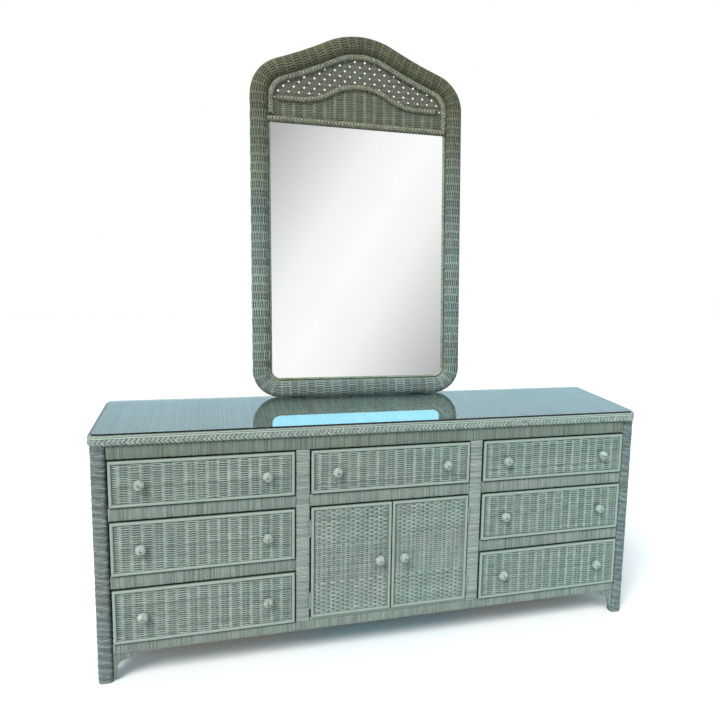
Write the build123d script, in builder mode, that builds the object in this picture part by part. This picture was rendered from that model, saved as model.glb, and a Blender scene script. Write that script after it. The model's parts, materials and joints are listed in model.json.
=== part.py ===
"""A wicker triple dresser with seven drawers, a two-door cupboard, a glass top and an arched mirror.

Millimetres. +X is to the right as one faces the dresser, +Y runs from the front to the back, +Z is up.
The origin is on the floor, at the middle of the box that the whole piece fills.
"""

import os
from math import atan2, cos, degrees, radians, sin

from build123d import *

# ---- driving dimensions -------------------------------------------------------------------------
case_half = 840.0  # half the width over the corner posts
case_depth = 440.0  # front of the posts to the back edge of the top
post_size = 42.0
post_round = 13.0
foot_round = 4.0  # round the lower ends of the posts
rail_depth = 22.0
rail_round = 4.0
side_rail_inset = 2.0  # from the posts' outer faces to the side rails
case_top = 696.0  # top of the posts and rails, under the top board
bottom_rail = (85.0, 115.0)  # lowest and highest point of the bottom rail
stile_inner = 250.5  # half the width of the centre opening
stile_width = 42.0
rows = {"low": (118.0, 277.0), "middle": (321.0, 476.0), "top": (520.0, 652.0)}
gap = 3.0  # between a drawer front or door and its opening
glue_line = 0.2  # between boards that are glued to each other

board_thick = 28.5
braid_width = 12.0
braid_lift = 1.0  # over the rails
braid_reach = 9.0  # how far the top stands out in front of the posts
top_side_reach = 5.0  # and beside them
top_corner = 30.0
glass_thick = 5.5
glass_inset = 10.0
glass_rear_inset = 2.0

panel_thick = 18.0  # drawer fronts and doors
moulding_width = 9.0
moulding_height = 7.0
moulding_round = 4.3
knob_radius = 15.0
knob_neck = 8.0
knob_reach = 35.0
knob_spread = 171.5  # from the middle of a drawer front to each knob

box_wall = 12.0
box_bottom = 6.0
box_length = 370.0
box_side_gap = 8.0  # between the opening and the side of the drawer box
box_lift = 2.0  # above the lower edge of the drawer front
box_drop = 30.0  # how much lower the box is than the drawer front
runner_height = 18.0
runner_clear = 0.5
runner_lap = 6.0  # how far a runner reaches under the drawer's floor

partition_thick = 16.0
side_panel_thick = 10.0
side_panel_inset = 6.0
back_panel_thick = 6.0
back_panel_y = 408.0  # from the front of the posts
rear_rail_top = 56.0  # height of the upper rear rail
shelf_thick = 12.0
shelf_z = 290.0
shelf_setback = 60.0  # of the shelf, behind the doors' front faces
cupboard_floor = 123.0  # top of the cupboard's floor
floor_setback = 3.0  # of its front edge

hinge_height = 52.0
hinge_centres = (182.0, 411.0)
hinge_axis_out = 0.2  # from the edge of the opening, over the stile
hinge_axis_front = 3.3  # in front of the posts
knuckle_radius = 3.0
pin_radius = 1.5
pin_clear = 0.06
leaf_thick = 0.8
leaf_depth = 16.0
knuckle_gap = 0.4

mirror_x = -30.0
mirror_lean = 4.0  # degrees, backwards
mirror_y = 410.0  # middle of the tube, behind the front of the posts
mirror_gap = 1.0  # from the glass top to the middle of the tube's lower face
tube_width = 56.0
tube_front = 25.0  # from the middle plane of the tube to its front
tube_back = 17.0  # and to its back
tube_back_round = 6.0
tube_front_round = 22.0
tube_half = 334.5  # half the width between the middle lines of the two upright tubes
tube_shoulder_z = 1004.0  # where the uprights begin to turn
corner_bend = 64.0
shoulder_bend = 100.0
shoulder_turn = 70.0  # degrees
hollow_bend = 1503.0
hollow_turn = 7.0  # degrees
mirror_glass_top = 925.0
mirror_glass_back = -9.0
mirror_glass_thick = 4.0
backboard_thick = 8.0
liner_width = 9.0
liner_thick = 8.0
strut_width = 45.0
strut_thick = 20.0
strut_spread = 215.0
strut_low = 430.0
strut_reach = 860.0  # how far up the mirror the struts go

crest_foot = 930.0
crest_half = 296.0
wave_low = 998.0
wave_rise = 58.0
wave_half = 200.0
band_width = 21.0
band_thick = 12.0
lattice_strip = 16.5
lattice_pitch = 24.0
lattice_layer = 2.5
lattice_clear = 1.0  # between the lattice and the tube's inner edge
lattice_rows = 40  # strips in each layer
lattice_reach = 1000.0  # length of a strip before it is trimmed

# ---- sizes that follow --------------------------------------------------------------------------
lean = radians(mirror_lean)
crest_turn = 90.0 - shoulder_turn + hollow_turn
hollow_start_u = tube_half - shoulder_bend * (1 - cos(radians(shoulder_turn)))
hollow_start_v = tube_shoulder_z + shoulder_bend * sin(radians(shoulder_turn))
slope_low = radians(90.0 - shoulder_turn)
slope_high = radians(crest_turn)
crest_start_u = hollow_start_u - hollow_bend * (sin(slope_high) - sin(slope_low))
crest_start_v = hollow_start_v + hollow_bend * (cos(slope_low) - cos(slope_high))
crest_bend = crest_start_u / sin(slope_high)
tube_crown = crest_start_v + crest_bend * (1 - cos(slope_high))
crown_corner = tube_crown + tube_width / 2 - tube_back_round
mirror_rear = mirror_y + crown_corner * sin(lean)
mirror_rear += (tube_back - tube_back_round) * cos(lean) + tube_back_round

front = (knob_reach - mirror_rear) / 2  # Y of the posts' front faces
back = front + case_depth
top_z = case_top + board_thick
glass_z = top_z + glass_thick
post_inner = case_half - post_size
stile_outer = stile_inner + stile_width
partition_x = (stile_inner + stile_outer) / 2
rear_post_y = back - post_size
panel_back_y = front + back_panel_y

mirror_plane = Plane(
    origin=(mirror_x, front + mirror_y, glass_z + mirror_gap),
    x_dir=(1, 0, 0),
    z_dir=(0, -cos(lean), sin(lean)),
)

os.makedirs("parts", exist_ok=True)


def save(piece, label):
    """Names a finished piece and writes its STEP file."""
    piece.part.label = label
    export_step(piece.part, f"parts/{label}.step")


def block(x, y, z):
    """Adds a box to the open part from its lowest and highest X, Y and Z."""
    with Locations(((x[0] + x[1]) / 2, (y[0] + y[1]) / 2, (z[0] + z[1]) / 2)):
        Box(x[1] - x[0], y[1] - y[0], z[1] - z[0])


def both_sides(x):
    """The span x on the right side and its mirror image on the left."""
    return (x, (-x[1], -x[0]))


# ---- posts, stiles and rails --------------------------------------------------------------------
with BuildPart() as corner_posts:
    for post_x in both_sides((post_inner, case_half)):
        for post_y in ((front, front + post_size), (rear_post_y, back)):
            block(post_x, post_y, (0.0, case_top))
    fillet(corner_posts.edges().filter_by(Axis.Z), post_round)
    fillet(corner_posts.faces().group_by(Axis.Z)[0].edges(), foot_round)
save(corner_posts, "corner_posts")

rail_y = (front, front + rail_depth)


def round_front(part, along):
    """Rounds the front edges, along one axis, of the rails in a part."""
    fillet(part.edges().filter_by(along).group_by(Axis.Y)[0], rail_round)


with BuildPart() as top_rail:
    block((-post_inner, post_inner), rail_y, (rows["top"][1] + gap, case_top))
    round_front(top_rail, Axis.X)
save(top_rail, "top_rail")

with BuildPart() as lower_rail:
    block((-post_inner, post_inner), rail_y, bottom_rail)
    round_front(lower_rail, Axis.X)
save(lower_rail, "bottom_rail")

with BuildPart() as centre_stiles:
    for stile_x in both_sides((stile_inner, stile_outer)):
        block(stile_x, rail_y, (bottom_rail[1], rows["top"][1] + gap))
    round_front(centre_stiles, Axis.Z)
save(centre_stiles, "centre_stiles")

low_divider = (rows["low"][1] + gap, rows["middle"][0] - gap)
high_divider = (rows["middle"][1] + gap, rows["top"][0] - gap)
with BuildPart() as divider_rails:
    for bay_x in both_sides((stile_outer, post_inner)):
        block(bay_x, rail_y, low_divider)
        block(bay_x, rail_y, high_divider)
    block((-stile_inner, stile_inner), rail_y, high_divider)
    round_front(divider_rails, Axis.X)
save(divider_rails, "divider_rails")

side_y = (front + post_size, rear_post_y)
side_outer = case_half - side_rail_inset
with BuildPart() as case_rails:
    for rail_x in both_sides((side_outer - rail_depth, side_outer)):
        block(rail_x, side_y, bottom_rail)
        block(rail_x, side_y, (rows["top"][1] + gap, case_top))
    rear_y = (panel_back_y + back_panel_thick, back)
    block((-post_inner, post_inner), rear_y, bottom_rail)
    block((-post_inner, post_inner), rear_y, (case_top - rear_rail_top, case_top))
save(case_rails, "case_rails")

# ---- foot brackets under the front rail ---------------------------------------------------------
bracket_y = front + 5.0
bracket_thick = 14.0
bracket_foot = 12.0
# points of the outline: how far from the post, and how high
bracket_tip = (63.0, bottom_rail[0])
bracket_hollow = (47.0, 71.0)
bracket_step = (25.0, 64.0)
bracket_belly = (12.5, 53.0)
bracket_heel = (8.0, 34.0)
with BuildPart() as foot_brackets:
    with BuildSketch(Plane.XZ.offset(-bracket_y)):
        for side in (1, -1):
            outline = (bracket_tip, bracket_hollow, bracket_step, bracket_belly, bracket_heel)
            tip, hollow, step, belly, heel = [(side * (post_inner - x), z) for x, z in outline]
            foot = (side * post_inner, bracket_foot)
            root = (side * post_inner, bottom_rail[0])
            with BuildLine():
                ThreePointArc(tip, hollow, step)
                ThreePointArc(step, belly, heel)
                Polyline(heel, foot, root, tip)
            make_face()
    extrude(amount=-bracket_thick)
save(foot_brackets, "foot_brackets")

# ---- side, back and inner panels ----------------------------------------------------------------
side_inner = case_half - side_panel_inset - side_panel_thick
with BuildPart() as side_panels:
    for panel_x in both_sides((side_inner, side_inner + side_panel_thick)):
        block(panel_x, side_y, (bottom_rail[1], rows["top"][1] + gap))
save(side_panels, "side_panels")

with BuildPart() as back_panel:
    block(
        (-post_inner, post_inner),
        (panel_back_y, panel_back_y + back_panel_thick),
        (bottom_rail[0], case_top),
    )
save(back_panel, "back_panel")

inner_y = (front + rail_depth, panel_back_y)
partition_inner = partition_x - partition_thick / 2
partition_outer = partition_x + partition_thick / 2
with BuildPart() as partitions:
    for wall_x in both_sides((partition_inner, partition_outer)):
        block(wall_x, inner_y, (bottom_rail[0], case_top))
save(partitions, "partitions")

with BuildPart() as cupboard_shelves:
    floor_z = (bottom_rail[1], cupboard_floor)
    block((-stile_inner, stile_inner), (front + floor_setback, front + rail_depth), floor_z)
    block((-partition_inner, partition_inner), inner_y, floor_z)
    block(
        (-partition_inner, partition_inner),
        (front + shelf_setback, panel_back_y),
        (shelf_z, shelf_z + shelf_thick),
    )
save(cupboard_shelves, "cupboard_shelves")

# ---- the top: board, braid round its edge, sheet of glass ---------------------------------------
edge_x = case_half + top_side_reach
edge_y = front - braid_reach


def top_outline(inset, rear):
    """The outline of the top, drawn in by an inset at the front and sides, as a sketch."""
    half = edge_x - inset
    low = edge_y + inset
    bend = top_corner - inset
    with BuildSketch() as outline:
        with BuildLine():
            Line((-half, rear), (-half, low + bend))
            JernArc((-half, low + bend), (0, -1), bend, 90)
            Line((-half + bend, low), (half - bend, low))
            JernArc((half - bend, low), (1, 0), bend, 90)
            Polyline((half, low + bend), (half, rear), (-half, rear))
        make_face()
    return outline.sketch


board_outline = top_outline(braid_width, back)
with BuildPart() as top_board:
    with BuildSketch(Plane.XY.offset(case_top)):
        add(board_outline)
    extrude(amount=board_thick)
save(top_board, "top_board")

braid_outline = top_outline(0.0, back)
with BuildPart() as top_braid:
    with BuildSketch(Plane.XY.offset(case_top + braid_lift)):
        add(braid_outline)
        add(board_outline, mode=Mode.SUBTRACT)
    extrude(amount=board_thick - braid_lift)
save(top_braid, "top_braid")

glass_outline = top_outline(glass_inset, back - glass_rear_inset)
with BuildPart() as glass_top:
    with BuildSketch(Plane.XY.offset(top_z)):
        add(glass_outline)
    extrude(amount=glass_thick)
save(glass_top, "glass_top")

# ---- drawers ------------------------------------------------------------------------------------


def mitred_strips(x, z):
    """The outlines of four mitred strips round a front's edge, with a fine joint at each corner."""
    inner_x = (x[0] + moulding_width, x[1] - moulding_width)
    inner_z = (z[0] + moulding_width, z[1] - moulding_width)
    fine = glue_line
    strips = []
    for outer, inner in ((z[0], inner_z[0]), (z[1], inner_z[1])):
        long_edge = [(x[0] + fine, outer), (x[1] - fine, outer)]
        strips.append(long_edge + [(inner_x[1] - fine, inner), (inner_x[0] + fine, inner)])
    for outer, inner in ((x[0], inner_x[0]), (x[1], inner_x[1])):
        long_edge = [(outer, z[0] + fine), (outer, z[1] - fine)]
        strips.append(long_edge + [(inner, inner_z[1] - fine), (inner, inner_z[0] + fine)])
    return strips


def build_moulding(label, x, z):
    """The raised half-round moulding round a drawer front or a door."""
    with BuildPart() as moulding:
        with BuildSketch(Plane.XZ.offset(-front)):
            for strip in mitred_strips(x, z):
                with BuildLine():
                    Polyline(*strip, close=True)
                make_face()
        extrude(amount=moulding_height)
        ridge = moulding.edges().group_by(Axis.Y)[0]
        fillet(ridge.filter_by(Axis.X) + ridge.filter_by(Axis.Z), moulding_round)
    save(moulding, label)


def build_knobs(label, places):
    """Round knobs on a short neck, each at an (x, z) place."""
    with BuildPart() as knobs:
        for x, z in places:
            neck_depth = knob_reach - knob_radius - (knob_radius**2 - knob_neck**2) ** 0.5
            with BuildSketch(Plane.XY.offset(z)):
                with BuildLine():
                    start = (x + knob_neck, front - neck_depth)
                    side = (x + knob_radius, front - knob_reach + knob_radius)
                    tip = (x, front - knob_reach)
                    ThreePointArc(start, side, tip)
                    Polyline(tip, (x, front), (x + knob_neck, front), start)
                make_face()
            revolve(axis=Axis((x, front, z), (0, 1, 0)))
    save(knobs, label)


def build_drawer(label, opening_x, z):
    """One drawer: its front panel, moulding, two knobs and the box behind them."""
    x = (opening_x[0] + gap, opening_x[1] - gap)
    with BuildPart() as panel:
        block(x, (front, front + panel_thick), z)
    save(panel, f"{label}_front")
    build_moulding(f"{label}_moulding", x, z)
    middle = ((x[0] + x[1]) / 2, (z[0] + z[1]) / 2)
    places = [(middle[0] + way * knob_spread, middle[1]) for way in (-1, 1)]
    build_knobs(f"{label}_knobs", places)

    box_x = (opening_x[0] + box_side_gap, opening_x[1] - box_side_gap)
    wall_x = (box_x[0] + box_wall, box_x[1] - box_wall)
    box_y = (front + panel_thick, front + panel_thick + box_length)
    wall_y = (box_y[0] + box_wall, box_y[1] - box_wall)
    box_z = (z[0] + box_lift, z[1] + box_lift - box_drop)
    floor_top = box_z[0] + box_bottom
    with BuildPart() as box:
        block((box_x[0], wall_x[0]), box_y, box_z)
        block((wall_x[1], box_x[1]), box_y, box_z)
        inner_x = (wall_x[0] + glue_line, wall_x[1] - glue_line)
        block(inner_x, (box_y[0], wall_y[0]), box_z)
        block(inner_x, (wall_y[1], box_y[1]), box_z)
        inner_y_span = (wall_y[0] + glue_line, wall_y[1] - glue_line)
        block(inner_x, inner_y_span, (box_z[0], floor_top))
    save(box, f"{label}_box")


right_bay = (stile_outer, post_inner)
left_bay = (-post_inner, -stile_outer)
centre_bay = (-stile_inner, stile_inner)
for row, row_z in rows.items():
    build_drawer(f"drawer_left_{row}", left_bay, row_z)
    build_drawer(f"drawer_right_{row}", right_bay, row_z)
build_drawer("drawer_centre", centre_bay, rows["top"])

with BuildPart() as drawer_runners:
    for row, row_z in rows.items():
        runner_top = row_z[0] + box_lift - runner_clear
        runner_z = (runner_top - runner_height, runner_top)
        reach = box_side_gap + box_wall + runner_lap
        for outer_x in both_sides((post_inner - reach, post_inner)):
            block(outer_x, inner_y, runner_z)
        for inner_x in both_sides((partition_outer, stile_outer + reach)):
            block(inner_x, inner_y, runner_z)
        if row == "top":
            for centre_x in both_sides((stile_inner - reach, partition_inner)):
                block(centre_x, inner_y, runner_z)
save(drawer_runners, "drawer_runners")

# ---- cupboard doors on butt hinges --------------------------------------------------------------
door_z = (cupboard_floor + gap, rows["middle"][1])
door_meeting = 1.5  # half the gap between the two doors
door_knob = 39.0  # from the middle of the dresser
door_knob_z = 295.0
axis_x = stile_inner + hinge_axis_out
axis_y = front - hinge_axis_front
knuckle = (hinge_height - 2 * knuckle_gap) / 3


def hinge_leaf(side, leaf_x, knuckles, middle_z, bore):
    """One leaf of a butt hinge with its knuckles, on the side where X has that sign.

    The moving leaf has a bore for the pin. The fixed leaf carries the pin itself.
    """
    leaf_y = (front, front + leaf_depth)
    span_z = (middle_z - hinge_height / 2, middle_z + hinge_height / 2)
    span_x = tuple(sorted((side * leaf_x[0], side * leaf_x[1])))
    centre = (side * axis_x, axis_y)
    with BuildPart() as leaf:
        block(span_x, leaf_y, span_z)
        for low in knuckles:
            block(span_x, (axis_y, front), (low, low + knuckle))
            with BuildSketch(Plane.XY.offset(low)):
                with Locations(centre):
                    Circle(knuckle_radius)
            extrude(amount=knuckle)
        with BuildSketch(Plane.XY.offset(span_z[0])):
            with Locations(centre):
                Circle(bore if bore else pin_radius)
        extrude(amount=hinge_height, mode=Mode.SUBTRACT if bore else Mode.ADD)
    return leaf.part


door_edge = stile_inner - gap
for side, word in ((-1, "left"), (1, "right")):
    door_x = tuple(sorted((side * door_meeting, side * door_edge)))
    with BuildPart() as door_panel:
        block(door_x, (front, front + panel_thick), door_z)
    save(door_panel, f"door_{word}_panel")
    build_moulding(f"door_{word}_moulding", door_x, door_z)
    build_knobs(f"door_{word}_knob", [(side * door_knob, door_knob_z)])
    door_leaves = []
    for centre_z in hinge_centres:
        span = (door_edge, door_edge + leaf_thick)
        middle_knuckle = (centre_z - knuckle / 2,)
        door_leaves.append(hinge_leaf(side, span, middle_knuckle, centre_z, pin_radius + pin_clear))
    with BuildPart() as moving_leaves:
        add(door_leaves)
    save(moving_leaves, f"door_{word}_hinge_leaves")

fixed_leaves = []
for side in (-1, 1):
    for centre_z in hinge_centres:
        lowest = centre_z - hinge_height / 2
        highest = centre_z + hinge_height / 2 - knuckle
        span = (stile_inner - leaf_thick, stile_inner)
        fixed_leaves.append(hinge_leaf(side, span, (lowest, highest), centre_z, None))
with BuildPart() as hinge_plates:
    add(fixed_leaves)
save(hinge_plates, "hinge_plates")

# ---- mirror frame: a tube bent into an arch -----------------------------------------------------


def arch(offset, start):
    """Lines along the tube's shoulders and crest, moved inwards by an offset, from right to left.

    The uprights begin at the height given as start.
    """
    half = tube_half - offset
    shoulder = shoulder_bend - offset
    Line((half, start), (half, tube_shoulder_z))
    right = JernArc((half, tube_shoulder_z), (0, 1), shoulder, shoulder_turn)
    fall = JernArc(right @ 1, right % 1, hollow_bend + offset, -hollow_turn)
    crown = JernArc(fall @ 1, fall % 1, crest_bend - offset, 2 * crest_turn)
    rise = JernArc(crown @ 1, crown % 1, hollow_bend + offset, -hollow_turn)
    left = JernArc(rise @ 1, rise % 1, shoulder, shoulder_turn)
    Line(left @ 1, (-half, start))


def tube_foot():
    """Lines along the tube's lower corners and bottom, from left to right."""
    corner_u = tube_half - corner_bend
    corner_v = tube_width / 2 + corner_bend
    JernArc((-tube_half, corner_v), (0, -1), corner_bend, 90)
    Line((-corner_u, tube_width / 2), (corner_u, tube_width / 2))
    JernArc((corner_u, tube_width / 2), (1, 0), corner_bend, 90)


with BuildPart() as mirror_frame:
    with BuildLine(mirror_plane) as tube_path:
        arch(0.0, tube_width / 2 + corner_bend)
        tube_foot()
    tube_start = mirror_plane.from_local_coords((0, tube_width / 2, 0))
    across = mirror_plane.y_dir
    with BuildSketch(Plane(origin=tube_start, x_dir=across, z_dir=(1, 0, 0))) as section:
        with Locations((0, (tube_front - tube_back) / 2)):
            Rectangle(tube_width, tube_front + tube_back)
        corners = section.vertices().group_by(Axis.Y)
        fillet(corners[0], tube_back_round)
        fillet(corners[-1], tube_front_round)
    sweep(path=tube_path.wire())
save(mirror_frame, "mirror_frame")

# ---- what the mirror frame holds ----------------------------------------------------------------
pane_offset = tube_width / 2 + glue_line


def pane(offset, top):
    """Lines round a pane inside the tube, with round lower corners and a straight top."""
    half = tube_half - offset
    bend = corner_bend - offset
    low = tube_width / 2 + offset
    Line((-half + bend, low), (half - bend, low))
    JernArc((half - bend, low), (1, 0), bend, 90)
    Polyline((half, low + bend), (half, top), (-half, top), (-half, low + bend))
    JernArc((-half, low + bend), (0, -1), bend, 90)


with BuildPart() as mirror_glass:
    with BuildSketch(mirror_plane.offset(mirror_glass_back)):
        with BuildLine():
            pane(pane_offset, mirror_glass_top)
        make_face()
    extrude(amount=mirror_glass_thick)
save(mirror_glass, "mirror_glass")

with BuildPart() as mirror_backboard:
    with BuildSketch(mirror_plane.offset(mirror_glass_back - backboard_thick)):
        with BuildLine():
            pane(pane_offset, crest_foot + band_width)
        make_face()
    extrude(amount=backboard_thick)
save(mirror_backboard, "mirror_backboard")

liner_back = mirror_glass_back + mirror_glass_thick
liner_top = crest_foot - band_width / 2 - lattice_clear
with BuildPart() as mirror_liner:
    with BuildSketch(mirror_plane.offset(liner_back)):
        with BuildLine():
            pane(pane_offset, liner_top)
        make_face()
        with BuildLine():
            pane(pane_offset + liner_width, liner_top)
        make_face(mode=Mode.SUBTRACT)
    extrude(amount=liner_thick)
save(mirror_liner, "mirror_liner")

# ---- the crest: woven panel, open lattice and braids --------------------------------------------
wave_turn = 2 * atan2(wave_rise, wave_half)
wave_bend = wave_half / 2 / sin(wave_turn)
braid_back = -1.0  # from the middle plane of the tube


def wave(half, offset):
    """A line that rises to a low peak in the middle, moved upwards by an offset, from left to right."""
    low = wave_low + offset
    turn = degrees(wave_turn)
    Line((-half, low), (-wave_half, low))
    climb = JernArc((-wave_half, low), (1, 0), wave_bend - offset, turn)
    peak = JernArc(climb @ 1, climb % 1, wave_bend + offset, -2 * turn)
    JernArc(peak @ 1, peak % 1, wave_bend - offset, turn)
    Line((wave_half, low), (half, low))


with BuildPart() as crest_panel:
    with BuildSketch(mirror_plane.offset(mirror_glass_back)):
        with BuildLine():
            wave(crest_half, 0.0)
            ends = [(crest_half, wave_low), (crest_half, crest_foot)]
            Polyline(*ends, (-crest_half, crest_foot), (-crest_half, wave_low))
        make_face()
    extrude(amount=braid_back - mirror_glass_back)
save(crest_panel, "crest_panel")

lattice_half = tube_half - pane_offset - lattice_clear
lattice_back = braid_back - 2 * lattice_layer
with BuildPart() as crest_lattice:
    for layer, slant in enumerate((45, -45)):
        with BuildSketch(mirror_plane.offset(lattice_back + layer * lattice_layer)):
            with Locations((0, wave_low + wave_rise)):
                with Locations(Rotation(0, 0, slant)):
                    with GridLocations(1, lattice_pitch, 1, lattice_rows):
                        Rectangle(lattice_reach, lattice_strip)
            with BuildLine():
                arch(pane_offset + lattice_clear, wave_low)
                wave(lattice_half, 0.0)
            make_face(mode=Mode.INTERSECT)
        extrude(amount=lattice_layer)
save(crest_lattice, "crest_lattice")

upper_inset = pane_offset + lattice_clear + band_width
foot_top = crest_foot + band_width / 2 + glue_line
wave_reach = tube_half - upper_inset - glue_line
with BuildPart() as crest_braids:
    with BuildSketch(mirror_plane.offset(braid_back)):
        with BuildLine():
            arch(upper_inset - band_width, foot_top)
            arch(upper_inset, foot_top)
            for side in (-1, 1):
                inner_end = (side * (tube_half - upper_inset), foot_top)
                Line(inner_end, (inner_end[0] + side * band_width, foot_top))
        make_face()
        with BuildLine():
            wave(wave_reach, band_width / 2)
            wave(wave_reach, -band_width / 2)
            for side in (-1, 1):
                low_end = (side * wave_reach, wave_low - band_width / 2)
                Line(low_end, (side * wave_reach, wave_low + band_width / 2))
        make_face()
        with Locations((0, crest_foot)):
            Rectangle(2 * (tube_half - upper_inset + band_width), band_width)
    extrude(amount=band_thick)
save(crest_braids, "crest_braids")

# ---- struts that hold the mirror to the back of the case ----------------------------------------


def behind_mirror(up, out):
    """Y and Z of a point so far up the mirror and so far in front of the tube's middle plane."""
    y = front + mirror_y + up * sin(lean) - out * cos(lean)
    return (y, glass_z + mirror_gap + up * cos(lean) + out * sin(lean))


strut_faces = []
for plane_y, out in ((back, -tube_back), (back + strut_thick, -tube_back - strut_thick)):
    bend_up = (plane_y - behind_mirror(0.0, out)[0]) / sin(lean)
    strut_faces.append([(plane_y, strut_low), behind_mirror(bend_up, out), behind_mirror(strut_reach, out)])
with BuildPart() as mirror_struts:
    for side in (-1, 1):
        with BuildSketch(Plane.YZ.offset(mirror_x + side * strut_spread - strut_width / 2)):
            with BuildLine():
                Polyline(*strut_faces[0], *reversed(strut_faces[1]), close=True)
            make_face()
        extrude(amount=strut_width)
save(mirror_struts, "mirror_struts")
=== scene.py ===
"""Looks of a painted wicker triple dresser with a glass top and an arched mirror.

Metres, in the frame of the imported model: +X to the right, +Y to the back, +Z up, origin on the floor.
Every woven surface is made of real strands of cane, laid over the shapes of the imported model.
"""

import json
from math import atan2, cos, pi, radians, sin

import bmesh
import bpy
import numpy as np
from mathutils import Matrix, Vector
from mathutils.bvhtree import BVHTree

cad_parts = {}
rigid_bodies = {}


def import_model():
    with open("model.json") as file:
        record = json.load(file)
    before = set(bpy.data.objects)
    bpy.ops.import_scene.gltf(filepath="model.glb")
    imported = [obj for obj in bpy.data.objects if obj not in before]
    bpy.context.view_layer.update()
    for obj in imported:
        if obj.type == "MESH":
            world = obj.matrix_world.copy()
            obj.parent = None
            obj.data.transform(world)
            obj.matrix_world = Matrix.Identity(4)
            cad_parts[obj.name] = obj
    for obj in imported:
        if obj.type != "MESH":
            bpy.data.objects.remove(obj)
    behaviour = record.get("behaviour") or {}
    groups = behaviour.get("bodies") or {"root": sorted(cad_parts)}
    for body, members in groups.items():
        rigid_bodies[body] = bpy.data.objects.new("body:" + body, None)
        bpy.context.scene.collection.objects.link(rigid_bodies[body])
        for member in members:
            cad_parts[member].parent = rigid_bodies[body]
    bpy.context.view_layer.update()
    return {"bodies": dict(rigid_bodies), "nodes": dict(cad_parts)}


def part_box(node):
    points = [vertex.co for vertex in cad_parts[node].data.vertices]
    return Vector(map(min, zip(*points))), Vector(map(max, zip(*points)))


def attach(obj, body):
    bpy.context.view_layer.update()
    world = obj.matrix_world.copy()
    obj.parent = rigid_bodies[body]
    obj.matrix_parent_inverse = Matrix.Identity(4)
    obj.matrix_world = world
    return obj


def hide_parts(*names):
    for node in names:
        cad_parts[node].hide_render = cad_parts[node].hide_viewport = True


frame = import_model()
nodes = frame["nodes"]

mm = 0.001
rng = np.random.default_rng(11)

# ---- weave sizes ----
gauge = 1.4 * mm  # how far a strand of cane stands out
flat_gauge = 1.3 * mm  # the same for the flat cane of panels
row_pitch = 3.3 * mm  # from one weaver to the next in the fronts and side panels
top_pitch = 4.0 * mm
crest_pitch = 2.9 * mm
front_stakes = 29 * mm  # from one stake to the next in the drawer fronts and side panels
door_stakes = 14.5 * mm
top_stakes = 26 * mm
crest_stakes = 34 * mm
front_swing = 1.9 * mm  # how far a weaver goes forwards and backwards from its middle
side_swing = 1.6 * mm
top_swing = 0.9 * mm
lap = 0.54  # half of a strand's width, as a share of its row, so that strands meet
rail_pitch = 3.1 * mm
post_pitch = 4.2 * mm

# ---- the case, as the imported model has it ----
post_round = 13 * mm
foot_round = 4 * mm
rail_round = 4 * mm
rail_wound = 21 * mm  # how far back from its face a rail is wound
front_border = 10 * mm  # the moulding's width and a little more, which shows a line of painted shade beside it
top_corner = 30 * mm

# ---- the mirror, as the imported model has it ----
mirror_lean = radians(4.0)
mirror_behind = 410 * mm  # from the front of the posts to the tube's middle plane
mirror_lift = 1 * mm
tube_half = 334.5 * mm
tube_radius = 28 * mm
tube_front = 25 * mm
tube_back = 17 * mm
tube_rounds = (6 * mm, 22 * mm)  # of the section's back and front corners
tube_hoops = 28 * mm  # from one hoop to the next
corner_bend = 64 * mm
uprights_top = 1004 * mm
shoulder_bend = 100 * mm
shoulder_turn = radians(70.0)
hollow_bend = 1503 * mm
hollow_turn = radians(7.0)
crest_foot = 930 * mm
crest_half = 296 * mm
wave_low = 998 * mm
wave_rise = 58 * mm
wave_half = 200 * mm
band_half = 10.5 * mm
band_high = 12 * mm
lattice_pitch = 24 * mm
crest_back = -9 * mm
crest_face = -1 * mm
pane_inset = tube_radius + 0.2 * mm

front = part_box("corner_posts")[0].y
glass_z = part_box("glass_top")[1].z
mirror_x = sum(corner.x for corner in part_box("mirror_frame")) / 2
mirror_origin = np.array([mirror_x, front + mirror_behind, glass_z + mirror_lift])
mirror_across = np.array([1.0, 0.0, 0.0])
mirror_up = np.array([0.0, sin(mirror_lean), cos(mirror_lean)])
mirror_out = np.array([0.0, -cos(mirror_lean), sin(mirror_lean)])

X, Y, Z = np.eye(3)

# ---- painted light, bluer and lighter towards the right; and where the paint has changed with age ----
right_light_range = (-0.2, 0.85)  # across the dresser, from no painted light to the most
right_light_tint = (1.22, 1.22, 1.26, 1.0)  # times the patch colour's red, green, blue and alpha, for the painted light on the right
aged_range = (1.2, 1.75)  # up the mirror, from the plain paint to olive


# ---- camera ----
def make_camera():
    """The photograph's point of view, found from the perspective of the case and the mirror."""
    eye = (-0.5243, -2.4678, 1.2860)
    to_right, down, tipped = radians(19.68), radians(8.74), radians(2.2)
    data = bpy.data.cameras.new("camera")
    data.sensor_width = 36.0
    data.lens = 38.24
    data.shift_x = -0.1678
    data.shift_y = -0.0028
    camera = bpy.data.objects.new("camera", data)
    bpy.context.scene.collection.objects.link(camera)
    yaw = Matrix.Rotation(-to_right, 4, "Z")
    pitch = Matrix.Rotation(pi / 2 - down, 4, "X")
    roll = Matrix.Rotation(tipped, 4, "Z")
    camera.matrix_world = Matrix.Translation(eye) @ yaw @ pitch @ roll
    bpy.context.scene.camera = camera


make_camera()


# ---- paint, wood, glass and metal ----
def tint(red, green, blue):
    """A colour as a shader needs it, from the red, green and blue of a screen, 0 to 255."""
    channels = []
    for value in (red, green, blue):
        share = value / 255
        channels.append(share / 12.92 if share <= 0.04045 else ((share + 0.055) / 1.055) ** 2.4)
    return (*channels, 1.0)


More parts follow.
